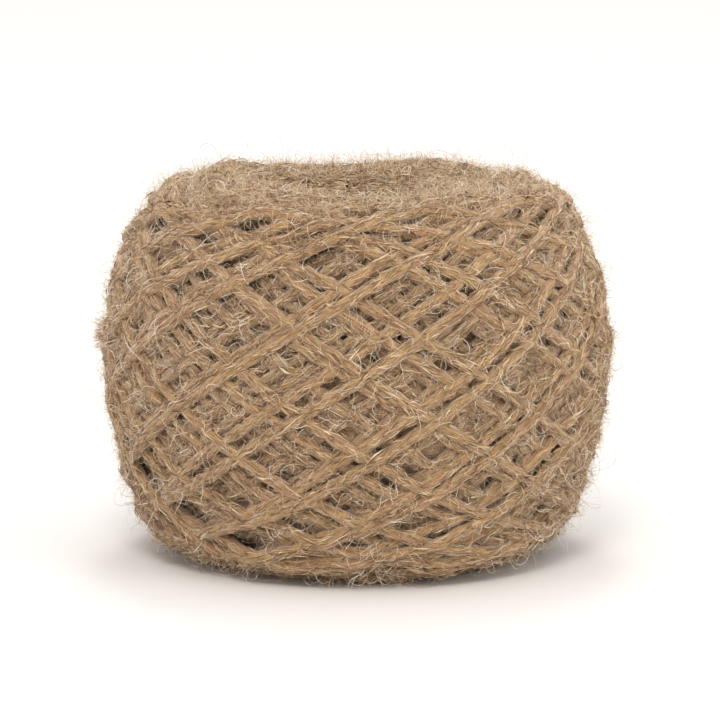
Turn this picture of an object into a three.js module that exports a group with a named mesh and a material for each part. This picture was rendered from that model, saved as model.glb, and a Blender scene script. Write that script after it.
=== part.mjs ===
// Ball of alpaca yarn, wound by machine around a centre hollow.
// One closed solid: a barrel with round shoulders, a gently dished top, a centre hollow, a small
// flat foot, and the outer turns of yarn standing up from the barrel where they cross.
// Millimetres, +Z up. The origin is the middle of the flat foot.

import * as THREE from "three";

// Driving dimensions
const BALL_HEIGHT = 59;
const BELLY_RADIUS = 40;
const FOOT_RADIUS = 21;
const YARN_WIDTH = 2.2;
const HOLLOW_RADIUS = 6.4;
const HOLLOW_DEPTH = 16;
const DISH_DEPTH = 1.4;

// The barrel's outline, over the tops of the outer turns.
// height: share of the ball's height, radius: share of the belly's radius.
const BARREL = [
  { height: 0.0, radius: 0.528 },
  { height: 0.012, radius: 0.65 },
  { height: 0.04, radius: 0.765 },
  { height: 0.1, radius: 0.85 },
  { height: 0.2, radius: 0.926 },
  { height: 0.33, radius: 0.967 },
  { height: 0.52, radius: 1.0 },
  { height: 0.66, radius: 0.99 },
  { height: 0.8, radius: 0.94 },
  { height: 0.9, radius: 0.88 },
  { height: 0.96, radius: 0.8 },
  { height: 0.99, radius: 0.72 },
  { height: 1.0, radius: 0.66 },
];

// Each turn of yarn is a loop around the barrel, tilted so that its height is a sine of the angle.
const TURN_SWING = 26;

// The outer turns, oldest first. phase: the angle in degrees at which the turn climbs through its
// middle. middle: the height of that middle in millimetres.
const OUTER_TURNS = [
  { phase: -349, middle: 31.0 },
  { phase: -320, middle: 30.4 },
  { phase: -291, middle: 31.6 },
  { phase: -261, middle: 31.2 },
  { phase: -234, middle: 30.6 },
  { phase: -202, middle: 31.4 },
  { phase: -178, middle: 31.8 },
  { phase: -157, middle: 32.2 },
  { phase: -125, middle: 31.8 },
  { phase: -96, middle: 30.8 },
  { phase: -66, middle: 29.8 },
  { phase: -39, middle: 29.0 },
  { phase: -9, middle: 29.6 },
];

// The layer of turns below lies beside the outer one, a little behind it in phase.
const LAYER_SHIFT = 7;
const OUTER_RISE = 3;
const AGE_DROP = 1.3;
const UNDER_RISE = 1.5;
const UNDER_AGE_DROP = 0.6;

// The turns crowd together where they reach the shoulder and the foot, and fill the valleys there.
const CROWD_START = 60;
const CROWD_END = 88;
const CROWD_FILL = 0.55;
const RIM_ROWS_LEFT_OUT = 3;

// Turns seen on the dished top are straight chords that touch the hollow's circle.
const TOP_CHORDS = 13;
const LINES_PER_CHORD = 3;
const TOP_COLUMNS = TOP_CHORDS * LINES_PER_CHORD;
const TOP_CHORD_RISE = 1.5;
const TOP_EDGE_RADIUS = 25;
const MOUTH_ROWS_LEFT_OUT = 4;
const MOUTH_ROUNDING_RADIUS = 13;

// Rings down the hollow. depth: share of the hollow's depth, radius: share of the hollow's radius.
const HOLLOW_RINGS = [
  { depth: 0.06, radius: 0.94 },
  { depth: 0.3, radius: 0.84 },
  { depth: 0.6, radius: 0.8 },
  { depth: 0.86, radius: 0.66 },
  { depth: 0.97, radius: 0.38 },
];

// Rings between the turns' lowest points and the foot's edge, as shares of the way along the outline
const FOOT_RING_SHARES = [0.4, 0.75];
const FOOT_COLUMNS = 39;

const YARN_COLOUR = 0xae8c68;
const YARN_ROUGHNESS = 0.95;

const toRadians = THREE.MathUtils.degToRad;
const FULL_TURN = 2 * Math.PI;

// The barrel's outline as a smooth curve from the foot's edge to the crest: x is the radius, y the height
const outline = new THREE.CatmullRomCurve3(
  BARREL.map((row) => new THREE.Vector3(row.radius * BELLY_RADIUS, row.height * BALL_HEIGHT, 0)),
  false,
  "centripetal",
);

// How far along the outline a height is reached, found by halving
function shareAtHeight(height) {
  let low = 0;
  let high = 1;
  for (let step = 0; step < 40; step += 1) {
    const middle = (low + high) / 2;
    if (outline.getPoint(middle).y < height) {
      low = middle;
    } else {
      high = middle;
    }
  }
  return low;
}

// One point of the skin: round the axis by angle, along the outline by share, sunk below it
function skinPoint(angle, share, sunk) {
  const point = outline.getPoint(share);
  const tangent = outline.getTangent(share);
  const radius = point.x - sunk * tangent.y;
  const height = point.y + sunk * tangent.x;
  return { angle, share, position: ringPosition(angle, radius, height) };
}

function ringPosition(angle, radius, height) {
  return new THREE.Vector3(radius * Math.cos(angle), radius * Math.sin(angle), height);
}

// A plain round ring of evenly spaced points
function roundRing(columns, radius, height) {
  const ring = [];
  for (let i = 0; i < columns; i += 1) {
    const angle = (i / columns) * FULL_TURN;
    ring.push({ angle, position: ringPosition(angle, radius, height) });
  }
  return ring;
}

// Lines across a turn: its two feet and its ridge, and the ridge of the turn that lies below it.
// Sorted by phase, they are the lines that the barrel's mesh follows.
function windingLines() {
  const halfWidth = THREE.MathUtils.radToDeg(YARN_WIDTH / 2 / TURN_SWING) * 1.2;
  const lines = [];
  OUTER_TURNS.forEach(({ phase, middle }, index) => {
    const age = 1 - index / (OUTER_TURNS.length - 1);
    const outerRise = OUTER_RISE - AGE_DROP * age;
    const underRise = UNDER_RISE - UNDER_AGE_DROP * age;
    lines.push({ phase: phase - LAYER_SHIFT - halfWidth, middle, rise: 0 });
    lines.push({ phase: phase - LAYER_SHIFT, middle, rise: underRise });
    lines.push({ phase: phase - LAYER_SHIFT / 2, middle, rise: 0 });
    lines.push({ phase, middle, rise: outerRise });
    lines.push({ phase: phase + halfWidth, middle, rise: 0 });
  });
  const wrapped = lines.map((line) => {
    const phase = toRadians(THREE.MathUtils.euclideanModulo(line.phase, 360));
    return { ...line, phase };
  });
  return wrapped.sort((a, b) => a.phase - b.phase);
}

// The barrel's rings, from the turns' highest points down to their lowest. Ring k joins each line,
// where its turn climbs, with the line k places behind it, where that turn falls, so that both ways
// of the winding run along edges of the mesh.
function barrelRings() {
  const lines = windingLines();
  const count = lines.length;
  const rings = [];
  for (let k = 0; k <= count; k += 1) {
    const fromRim = Math.min(k, count - k);
    if (fromRim > 0 && fromRim <= RIM_ROWS_LEFT_OUT) {
      continue;
    }
    const ring = lines.map((climbing, i) => {
      const falling = lines[(i - k + count) % count];
      const fallingPhase = falling.phase + (i < k ? -FULL_TURN : 0) + Math.PI;
      const angle = (climbing.phase + fallingPhase) / 2;
      const lift = (fallingPhase - climbing.phase) / 2;
      const middle = (climbing.middle + falling.middle) / 2;
      const share = shareAtHeight(middle + TURN_SWING * Math.sin(lift));
      const steepness = Math.abs(lift);
      const crowd = THREE.MathUtils.smoothstep(steepness, toRadians(CROWD_START), toRadians(CROWD_END));
      const rise = Math.max(climbing.rise, falling.rise, crowd * CROWD_FILL * OUTER_RISE);
      return skinPoint(angle, share, OUTER_RISE - rise);
    });
    rings.push(ring);
  }
  return rings;
}

// A ring part of the way along the outline from another ring towards a given place
function ringTowards(ring, endShare, part, sunk) {
  return ring.map(({ angle, share }) => {
    return skinPoint(angle, THREE.MathUtils.lerp(share, endShare, part), sunk);
  });
}

// Height of the dished top, a smooth bowl between the hollow and the crest
function dishHeight(radius) {
  const share = THREE.MathUtils.smoothstep(radius, HOLLOW_RADIUS, TOP_EDGE_RADIUS);
  return BALL_HEIGHT - DISH_DEPTH * (1 - share);
}

// The dished top's rings, from the hollow's mouth to the top's edge. Every chord touches the mouth,
// so the rings are joined the same way as the barrel's, and each chord's ridge follows mesh edges.
function topRings() {
  const rowStep = Math.PI / TOP_COLUMNS;
  const lastRow = Math.floor(Math.acos(HOLLOW_RADIUS / TOP_EDGE_RADIUS) / rowStep);
  const rings = [];
  for (let row = 0; row <= lastRow; row += 1) {
    if (row > 0 && row <= MOUTH_ROWS_LEFT_OUT) {
      continue;
    }
    const radius = HOLLOW_RADIUS / Math.cos(row * rowStep);
    const valley = TOP_CHORD_RISE * THREE.MathUtils.smoothstep(radius, HOLLOW_RADIUS, MOUTH_ROUNDING_RADIUS);
    const ring = [];
    for (let i = 0; i < TOP_COLUMNS; i += 1) {
      const angle = (i + row / 2) * (FULL_TURN / TOP_COLUMNS);
      const onRidge = i % LINES_PER_CHORD === 0 || (i + row) % LINES_PER_CHORD === 0;
      const height = dishHeight(radius) - (onRidge ? 0 : valley);
      ring.push({ angle, position: ringPosition(angle, radius, height) });
    }
    rings.push(ring);
  }
  return rings;
}

// Rings down the wall of the centre hollow, the lowest first
function hollowRings() {
  const mouthHeight = BALL_HEIGHT - DISH_DEPTH;
  const rings = HOLLOW_RINGS.map(({ depth, radius }) => {
    return roundRing(TOP_COLUMNS, radius * HOLLOW_RADIUS, mouthHeight - depth * HOLLOW_DEPTH);
  });
  return rings.reverse();
}

// Joins two rings with triangles, always stepping along the ring that lags behind
function stitch(faces, inner, outer) {
  const angleAt = (ring, i) => ring[i % ring.length].angle + (i >= ring.length ? FULL_TURN : 0);
  let i = 0;
  let j = 0;
  while (i < inner.length || j < outer.length) {
    const here = inner[i % inner.length].index;
    const there = outer[j % outer.length].index;
    const nextInner = i < inner.length ? angleAt(inner, i + 1) : Infinity;
    const nextOuter = j < outer.length ? angleAt(outer, j + 1) : Infinity;
    if (nextInner < nextOuter) {
      i += 1;
      faces.push(here, there, inner[i % inner.length].index);
    } else {
      j += 1;
      faces.push(here, there, outer[j % outer.length].index);
    }
  }
}

// Closes a ring with a fan around one point
function fan(faces, ring, centre, facesUp) {
  ring.forEach((point, i) => {
    const next = ring[(i + 1) % ring.length];
    const [first, second] = facesUp ? [point, next] : [next, point];
    faces.push(centre, first.index, second.index);
  });
}

// The whole skin, from the floor of the hollow, over the crest and down to the flat foot
function ballGeometry() {
  const positions = [];
  const faces = [];
  const addPoint = ({ x, y, z }) => {
    positions.push(x, y, z);
    return positions.length / 3 - 1;
  };
  const addRing = (ring) => {
    const points = ring.map(({ angle, position }) => ({
      index: addPoint(position),
      angle: THREE.MathUtils.euclideanModulo(angle, FULL_TURN),
    }));
    return points.sort((a, b) => a.angle - b.angle);
  };
  const barrel = barrelRings();
  const highest = barrel[0];
  const lowest = barrel[barrel.length - 1];
  const rings = [
    ...hollowRings(),
    ...topRings(),
    ringTowards(highest, 1, 0.95, 0),
    ringTowards(highest, 1, 0.5, 0.5),
    ...barrel,
    ...FOOT_RING_SHARES.map((part) => ringTowards(lowest, 0, part, 0.5)),
    roundRing(FOOT_COLUMNS, FOOT_RADIUS, 0),
  ].map(addRing);
  for (let i = 0; i + 1 < rings.length; i += 1) {
    stitch(faces, rings[i], rings[i + 1]);
  }
  const hollowFloor = addPoint({ x: 0, y: 0, z: BALL_HEIGHT - DISH_DEPTH - HOLLOW_DEPTH });
  const footCentre = addPoint({ x: 0, y: 0, z: 0 });
  fan(faces, rings[0], hollowFloor, true);
  fan(faces, rings[rings.length - 1], footCentre, false);
  const geometry = new THREE.BufferGeometry();
  geometry.setAttribute("position", new THREE.Float32BufferAttribute(positions, 3));
  geometry.setIndex(faces);
  geometry.computeVertexNormals();
  return geometry;
}

const yarnMaterial = new THREE.MeshStandardMaterial({
  color: YARN_COLOUR,
  roughness: YARN_ROUGHNESS,
  metalness: 0,
});
const ball = new THREE.Mesh(ballGeometry(), yarnMaterial);
ball.name = "yarn_ball";

const part = new THREE.Group();
part.name = "ball_of_yarn";
part.add(ball);

export default part;
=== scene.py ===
# %% [markdown]
# # A ball of alpaca yarn
# The real thing is one long, soft, two-ply yarn that a machine has wound around a centre hollow.
# Every turn is a tilted loop, and each new turn starts a little further round than the last one.
# This notebook winds the yarn the same way, turn by turn, so that the crossings come out by themselves.
# It first opens the frame, which holds the plain solid of the ball and its real size.

# %% Open the frame
import math
import bpy
import numpy as np
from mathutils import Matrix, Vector


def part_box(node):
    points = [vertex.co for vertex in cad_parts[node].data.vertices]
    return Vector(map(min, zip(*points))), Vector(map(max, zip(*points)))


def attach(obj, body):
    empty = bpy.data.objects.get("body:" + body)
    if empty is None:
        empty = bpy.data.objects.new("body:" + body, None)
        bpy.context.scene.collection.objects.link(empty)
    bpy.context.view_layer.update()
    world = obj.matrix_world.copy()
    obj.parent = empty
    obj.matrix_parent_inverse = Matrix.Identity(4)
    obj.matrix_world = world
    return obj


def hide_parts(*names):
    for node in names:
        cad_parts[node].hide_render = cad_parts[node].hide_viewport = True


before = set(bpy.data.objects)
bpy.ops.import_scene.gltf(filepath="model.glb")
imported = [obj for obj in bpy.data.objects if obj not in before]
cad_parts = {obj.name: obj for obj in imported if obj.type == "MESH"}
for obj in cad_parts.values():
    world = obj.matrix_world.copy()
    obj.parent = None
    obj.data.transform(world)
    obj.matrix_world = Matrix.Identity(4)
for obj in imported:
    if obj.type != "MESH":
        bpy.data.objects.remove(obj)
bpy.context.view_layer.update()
MM = 0.001
ball_low, ball_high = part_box("yarn_ball")
BALL_HEIGHT = round((ball_high[2] - ball_low[2]) / MM)
BELLY_RADIUS = round((ball_high[0] - ball_low[0]) / 2 / MM)
print("ball", BALL_HEIGHT, "mm high,", 2 * BELLY_RADIUS, "mm across")

# %% [markdown]
# ## The camera
# The photograph looks at the ball from a little above, from more than a metre away through a long lens,
# so the ball is hardly foreshortened. The camera could be moved by hand until the pictures agree. Here it
# is placed by its distance and its angle above the table, and aimed a little above and to the right of
# the ball's middle, because the ball sits slightly low and left in the picture.

# %% Place the camera
CAMERA_DISTANCE = 1.1
CAMERA_ELEVATION = math.radians(9.8)
PIXELS_PER_MM = 6.37
PICTURE_SIZE = 720
SENSOR_WIDTH = 36.0
AIM_POINT = Vector((0.00047, 0.0, 0.03024))

camera_data = bpy.data.cameras.new("camera")
camera = bpy.data.objects.new("camera", camera_data)
bpy.context.collection.objects.link(camera)
camera_data.sensor_width = SENSOR_WIDTH
camera_data.lens = PIXELS_PER_MM / MM * CAMERA_DISTANCE * SENSOR_WIDTH / PICTURE_SIZE
camera_data.clip_end = 20
back = Vector((0, -math.cos(CAMERA_ELEVATION), math.sin(CAMERA_ELEVATION)))
camera.location = AIM_POINT + back * CAMERA_DISTANCE
camera.rotation_euler = (-back).to_track_quat("-Z", "Y").to_euler()
bpy.context.scene.camera = camera
print("lens", round(camera_data.lens), "mm")

# %% [markdown]
# ## Colours and nodes
# Colours are written as the hex values that a picture shows, and Blender wants linear light, so one
# function turns the first into the second. Another adds a shader node with its settings and links, where
# a node that is given as an input stands for its first output.

# %% Helpers for colours and nodes
def linear(hex_colour):
    parts = [int(hex_colour[i:i + 2], 16) / 255 for i in (1, 3, 5)]
    return tuple(p / 12.92 if p <= 0.04045 else ((p + 0.055) / 1.055) ** 2.4 for p in parts) + (1.0,)


def add_node(tree, kind, inputs=None, **settings):
    node = tree.nodes.new(kind)
    for name, value in settings.items():
        setattr(node, name, value)
    for name, value in (inputs or {}).items():
        socket = node.inputs[name]
        value = value.outputs[0] if isinstance(value, bpy.types.Node) else value
        if isinstance(value, bpy.types.NodeSocket):
            tree.links.new(value, socket)
        else:
            socket.default_value = value
    return node


def new_material(name):
    material = bpy.data.materials.new(name)
    material.use_nodes = True
    material.node_tree.nodes.clear()
    return material, material.node_tree


# %% [markdown]
# ## Meshes from numbers
# A ball of yarn needs hundreds of thousands of faces. Adding them one at a time would take minutes, so
# every mesh here is filled from whole arrays of points and faces at once.

# %% Helper for meshes
def make_mesh(name, points, faces, material, uv_maps=None):
    """A mesh from points in mm and an array of faces that all have as many corners."""
    mesh = bpy.data.meshes.new(name)
    count, corners = faces.shape
    mesh.vertices.add(len(points))
    mesh.vertices.foreach_set("co", (points * MM).astype(np.float32).ravel())
    mesh.loops.add(count * corners)
    mesh.loops.foreach_set("vertex_index", faces.astype(np.int32).ravel())
    mesh.polygons.add(count)
    mesh.polygons.foreach_set("loop_start", np.arange(0, count * corners, corners, dtype=np.int32))
    mesh.polygons.foreach_set("use_smooth", np.ones(count, dtype=bool))
    for map_name, corner_uvs in (uv_maps or {}).items():
        layer = mesh.uv_layers.new(name=map_name)
        layer.data.foreach_set("uv", corner_uvs.astype(np.float32).ravel())
    mesh.update(calc_edges=True)
    mesh.materials.append(material)
    piece = bpy.data.objects.new(name, mesh)
    bpy.context.collection.objects.link(piece)
    print(name, count * (corners - 2), "triangles")
    return piece


# %% [markdown]
# ## Smooth curves and soft steps
# The ball's outline is drawn as a smooth curve through a few points, as with a bent strip of wood.
# Softening spreads each number over its neighbours, which rounds off corners, and easing turns a
# straight ramp into one that starts and ends gently.

# %% Helpers for curves
def ease(share):
    share = np.clip(share, 0, 1)
    return share * share * (3 - 2 * share)


def smooth_curve(points, per_span=24):
    """A curve through all the points, with each point's slope set by its neighbours."""
    points = np.array(points, dtype=float)
    chord = np.concatenate([[0], np.cumsum(np.linalg.norm(np.diff(points, axis=0), axis=1) ** 0.5)])
    slopes = np.gradient(points, chord, axis=0)
    made = []
    for i in range(len(points) - 1):
        t = np.linspace(0, 1, per_span, endpoint=False)[:, None]
        width = chord[i + 1] - chord[i]
        made.append(
            (2 * t**3 - 3 * t**2 + 1) * points[i] + (t**3 - 2 * t**2 + t) * width * slopes[i]
            + (3 * t**2 - 2 * t**3) * points[i + 1] + (t**3 - t**2) * width * slopes[i + 1]
        )
    return np.vstack(made + [points[-1:]])


def soften(values, width, gap):
    """Rounds off a row of numbers over a width in mm, where neighbours are a gap in mm apart."""
    reach = int(3 * width / gap)
    weights = np.exp(-0.5 * (np.arange(-reach, reach + 1) * gap / width) ** 2)
    return np.convolve(np.pad(values, reach, mode="edge"), weights / weights.sum(), mode="valid")


# %% [markdown]
# ## The shape that the winding fills
# A ball off a winder is a squat barrel. Its outline rises from a small flat foot, bulges at the belly,
# rounds over at the shoulder, dips gently over the top and drops into the centre hollow. The hollow is
# a funnel, because its mouth has widened where the winder's shaft was drawn out.
# The outline could be drawn with a curve object. Here it is a list of numbers, because the winding
# needs to ask it questions, such as which way the surface faces 12 mm above the foot.

# %% Outline of the ball
# height as a share of the ball's height, radius as a share of the belly's radius
BARREL = [
    (0.0, 0.528), (0.012, 0.65), (0.04, 0.765), (0.1, 0.85), (0.2, 0.926), (0.33, 0.967), (0.52, 1.0),
    (0.66, 0.99), (0.8, 0.94), (0.9, 0.88), (0.96, 0.8), (0.99, 0.72), (1.0, 0.66),
]
# radii in mm where the flat foot and the dished top have a point
FOOT_RADII = (0.0, 8.0, 16.0)
TOP_RADII = (23.0, 19.0, 15.0, 12.5)
DISH_DEPTH = 1.4
DISH_RADIUS = 0.63 * BELLY_RADIUS
HOLLOW_RADIUS = 6.4
HOLLOW_DEPTH = 16.0
# radius in mm, depth below the mouth in mm
FUNNEL = [
    (10.7, 0.5), (9.7, 1.4), (9.0, 2.8), (8.4, 5.0), (7.4, 8.0), (6.3, 11.0), (4.6, 14.2), (2.4, 15.6),
    (0.0, HOLLOW_DEPTH),
]


def dish_height(radius):
    return BALL_HEIGHT - DISH_DEPTH * (1 - ease((radius - HOLLOW_RADIUS) / (DISH_RADIUS - HOLLOW_RADIUS)))


mouth = BALL_HEIGHT - DISH_DEPTH
foot = [(radius, 0.0) for radius in FOOT_RADII]
barrel = [(radius * BELLY_RADIUS, height * BALL_HEIGHT) for height, radius in BARREL]
top = [(radius, float(dish_height(radius))) for radius in TOP_RADII]
hollow = [(radius, mouth - deep) for radius, deep in FUNNEL]
drawn = smooth_curve(foot + barrel + top + hollow)
drawn_length = np.concatenate([[0], np.cumsum(np.linalg.norm(np.diff(drawn, axis=0), axis=1))])
print("outline", round(drawn_length[-1]), "mm long")

# %% [markdown]
# ## Rows along the outline
# The outline is cut into even rows. Each knows its radius, its height, which way is out of the ball and how
# sharply the outline bends there. A place on the ball is then a distance along the outline and an angle.

# %% Rows of the outline
ROW_GAP = 0.35
SLOPE_SOFTENING = 0.8
BEND_SOFTENING = 1.0
CLIMB_FROM = 20.0

along = np.arange(0, drawn_length[-1], ROW_GAP)
ROWS = len(along)
outline_r = np.interp(along, drawn_length, drawn[:, 0])
outline_z = np.interp(along, drawn_length, drawn[:, 1])
slope_r = soften(np.gradient(outline_r, along), SLOPE_SOFTENING, ROW_GAP)
slope_z = soften(np.gradient(outline_z, along), SLOPE_SOFTENING, ROW_GAP)
normal_r = slope_z / np.hypot(slope_r, slope_z)
normal_z = -slope_r / np.hypot(slope_r, slope_z)
facing_angle = np.unwrap(np.arctan2(normal_z, normal_r))
bend_along = soften(np.gradient(facing_angle, along), BEND_SOFTENING, ROW_GAP)
crest_row = int(np.argmax(outline_z))
climb_rows = np.arange(int(CLIMB_FROM / ROW_GAP), crest_row + 1)
print(ROWS, "rows, crest at", round(along[crest_row]), "mm")

# %% [markdown]
# ## The path of the yarn
# Seen from the side, a turn's height is a sine wave: it climbs across the front, rounds the shoulder,
# and comes down behind. The phase says where it climbs. Older turns round the top and the foot closer to
# the ball's axis than newer ones. No turn is quite even, so a slow random drift moves each one a little.

# %% Helpers for paths
TURN_SWING = 26.0
PATH_GAP = 0.25
LEAST_RADIUS = 1.0
chance = np.random.default_rng(12)


def turn_place(lift, middle, inward_top, inward_foot):
    """Place along the outline for an angle past the climb. Older turns round closer to the axis."""
    wave = np.sin(lift)
    height = middle + TURN_SWING * wave
    place = np.interp(height, outline_z[climb_rows], along[climb_rows])
    return place + np.where(wave > 0, inward_top, inward_foot) * wave * np.abs(wave)


def drift(count, size, smoothness):
    """A slow random drift, the unevenness of a hand or a machine."""
    weights = np.hanning(2 * smoothness + 1)
    steps = chance.normal(0, 1, count + 2 * smoothness)
    return size * np.convolve(steps, weights / np.sqrt((weights**2).sum()), mode="valid")[:count]


def even_path(angle, place):
    """The same path with its points an equal distance apart."""
    radius = np.maximum(np.interp(place, along, outline_r), LEAST_RADIUS)
    distance = np.cumsum(np.hypot(radius * np.gradient(angle), np.gradient(place)))
    wanted = np.arange(distance[0], distance[-1], PATH_GAP)
    return np.interp(wanted, distance, angle), np.interp(wanted, distance, place)


# %% [markdown]
# ## Whole turns
# The phases of the newest thirteen turns were read off the photograph, and the older layers follow the
# same rhythm, each a few degrees behind. The yarn could be drawn as closed loops. It is one length here,
# as in the real ball, so the step from one phase to the next is made while the yarn rounds the foot.
# A real ball's outer end is pushed out of sight, so the newest turn ends tucked under the foot.

# %% Plan the whole turns
# phase in degrees where the turn climbs through its middle, middle height in mm
TURNS = [
    (-349, 31.0), (-320, 30.4), (-291, 31.6), (-261, 31.2), (-234, 30.6), (-202, 31.4), (-178, 31.8),
    (-157, 32.2), (-125, 31.8), (-96, 30.8), (-66, 29.8), (-39, 29.0), (-9, 29.6),
]
LAYERS = 5
# degrees: from turn to turn, from layer to layer, from point to point of a path, half the way over which
# a phase changes into the next, and where the last turn starts to tuck in
PHASE_STEP = 29
LAYER_SHIFT = 7.0
LIFT_STEP = 0.25
STEP_HALF = 55
TUCK_FROM = 200
# mm: how much closer to the axis each older layer rounds the top and the foot, and how far the end tucks in
CREST_STEP = 2.0
FOOT_STEP = 1.2
END_TUCK = 12.0
# how uneven the turns are: the phase in degrees, the rest in mm
PHASE_SLACK = 2.5
MIDDLE_SLACK = 0.7
CREST_SLACK = 0.8
FOOT_SLACK = 0.6
TURN_DRIFT = 0.12
# points over which a drift changes
DRIFT_STEPS = 60


def uneven(slack):
    return chance.uniform(-slack, slack)


def turn_list():
    """Each whole turn, oldest first, as layer, phase, middle height, inward at the top and the foot."""
    listed = []
    for layer in range(LAYERS - 1, -1, -1):
        loose = 1 if layer else 0
        for phase, middle in TURNS:
            phase += loose * uneven(PHASE_SLACK) - layer * (LAYER_SHIFT + 360)
            middle += loose * uneven(MIDDLE_SLACK)
            inward_top = layer * CREST_STEP + uneven(CREST_SLACK)
            inward_foot = layer * FOOT_STEP + uneven(FOOT_SLACK)
            listed.append((layer, phase, middle, inward_top, inward_foot))
    return listed


def plan_turns():
    """Whole turns, oldest first, as (layer, angles, places), each from one low point to the next."""
    listed = turn_list()
    phases = [listed[0][1] - PHASE_STEP] + [turn[1] for turn in listed] + [listed[-1][1] + PHASE_STEP]
    turns = []
    lift = np.radians(np.arange(-90, 270, LIFT_STEP))
    arriving = ease((lift + np.radians(90 + STEP_HALF)) / np.radians(2 * STEP_HALF))
    leaving = ease((lift - np.radians(270 - STEP_HALF)) / np.radians(2 * STEP_HALF))
    for i, (layer, phase, middle, inward_top, inward_foot) in enumerate(listed):
        turned = phases[i] + (phase - phases[i]) * arriving + (phases[i + 2] - phase) * leaving
        place = turn_place(lift, middle, inward_top, inward_foot)
        place = place + drift(len(lift), TURN_DRIFT, DRIFT_STEPS)
        if i == len(listed) - 1:
            place = place - END_TUCK * ease((lift - np.radians(TUCK_FROM)) / np.radians(270 - TUCK_FROM))
        turns.append((layer, *even_path(lift + np.radians(turned), place)))
    return turns


# %% [markdown]
# ## Arcs of older turns
# Around the hollow and around the foot, older turns still show where the newer ones pass further out.
# Only their arcs there are made, because the rest of each lies deep inside the ball.

# %% Plan the arcs and list the winding
# how many layers of arcs, and how far each reaches to both sides in degrees
TOP_ARCS = 8
TOP_ARC_REACH = 72
FOOT_ARCS = 5
FOOT_ARC_REACH = 60
ARC_PHASE_SLACK = 6
ARC_CREST_SLACK = 1
ARC_DRIFT = 0.15


def plan_arcs(centre, reach, layers):
    """Arcs around a centre angle past the climb, both in degrees, innermost first."""
    arcs = []
    lift = np.radians(np.arange(centre - reach, centre + reach, LIFT_STEP))
    for layer in range(LAYERS + layers - 1, LAYERS - 1, -1):
        for phase, middle in TURNS:
            turned = phase - layer * LAYER_SHIFT + uneven(ARC_PHASE_SLACK)
            inward_top = layer * CREST_STEP + uneven(ARC_CREST_SLACK)
            inward_foot = layer * FOOT_STEP + uneven(FOOT_SLACK)
            place = turn_place(lift, middle, inward_top, inward_foot)
            place = place + drift(len(lift), ARC_DRIFT, DRIFT_STEPS)
            arcs.append((layer, *even_path(lift + np.radians(turned), place)))
    return arcs


plans = plan_arcs(90, TOP_ARC_REACH, TOP_ARCS) + plan_arcs(270, FOOT_ARC_REACH, FOOT_ARCS) + plan_turns()
yarn_length = sum(len(place) for layer, angle, place in plans) * PATH_GAP
print(len(plans), "turns and arcs,", round(yarn_length / 1000, 1), "m of yarn")

# %% [markdown]
# ## Laying the yarn
# Each turn is a stretched string: it rests on what is already wound, bridges the gaps and never sags.
# A height map of the ball's surface remembers how high the yarn lies everywhere. Laying a turn first
# reads the map below the yarn, then stretches a line over it, then raises the map by the yarn's own
# round back. Soft yarn presses into the turns below it, so it counts as much flatter than it looks.
# Blender's cloth or rigid body simulation could do this too, but it would take hours.

# %% Lay one length of yarn
YARN_RADIUS = 0.94
COLUMNS = 768
STIFFNESS = 0.6
PRESSED_UNDER = 0.2
PRESSED_TOP = 0.45
BEND_RADIUS = 2.0
TOUCH_WIDTH = 0.8
TOUCH_STEP = 0.2
RAISE_STEP = 0.1
HEIGHT_SOFTENING = 1.0
LEAST_DOWN = 0.05


def spots(angle, place):
    column = np.floor(angle / (2 * math.pi) * COLUMNS).astype(int) % COLUMNS
    row = np.clip(np.rint(place / ROW_GAP).astype(int), 0, ROWS - 1)
    return row, column


def stretched(distance, floor):
    """The lowest line over the floor that never sags, like a stretched string."""
    x = distance.tolist()
    y = floor.tolist()
    kept = []
    for i in range(len(x)):
        while len(kept) > 1:
            a, b = kept[-2], kept[-1]
            if (y[b] - y[a]) * (x[i] - x[a]) > (y[i] - y[a]) * (x[b] - x[a]):
                break
            kept.pop()
        kept.append(i)
    return np.interp(distance, distance[kept], floor[kept])


def off_floor(place, height):
    """Heights that keep the yarn above the surface that the ball stands on."""
    down = -np.interp(place, along, normal_z)
    most = (np.interp(place, along, outline_z) - YARN_RADIUS) / np.maximum(down, LEAST_DOWN)
    return np.where(down > LEAST_DOWN, np.minimum(height, most), height)


def lay(surface, angle, place):
    """Lays one length of yarn, raises the surface, and returns the yarn's height over the outline."""
    radius = np.maximum(np.interp(place, along, outline_r), BEND_RADIUS)
    across = radius * np.gradient(angle)
    forward = np.gradient(place)
    step = np.hypot(across, forward)
    across, forward = across / step, forward / step
    distance = np.cumsum(step)

    def beside(offsets):
        turned = angle[:, None] - offsets * (forward / radius)[:, None]
        return spots(turned, place[:, None] + offsets * across[:, None])

    near = np.arange(-TOUCH_WIDTH, TOUCH_WIDTH + TOUCH_STEP / 2, TOUCH_STEP)
    contact = (surface[beside(near)] + PRESSED_UNDER * np.sqrt(YARN_RADIUS**2 - near**2)).max(axis=1)
    bend = across**2 * np.interp(place, along, normal_r) / radius
    bend += forward**2 * np.interp(place, along, bend_along)
    fall = np.cumsum(np.cumsum(bend * step) * step)
    height = STIFFNESS * (stretched(distance, contact - fall) + fall) + (1 - STIFFNESS) * contact
    height = off_floor(place, soften(height, HEIGHT_SOFTENING, PATH_GAP))
    wide = np.arange(-YARN_RADIUS, YARN_RADIUS, RAISE_STEP)
    np.maximum.at(surface, beside(wide), height[:, None] + PRESSED_TOP * np.sqrt(YARN_RADIUS**2 - wide**2))
    return height


# %% [markdown]
# ## Winding to the right size
# How deep the winding must start so that it ends at the real outline isn't known beforehand, so the
# ball is wound twice, the second time from a start that is moved by the first one's error. What is
# still wrong then is taken off every turn.

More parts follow.
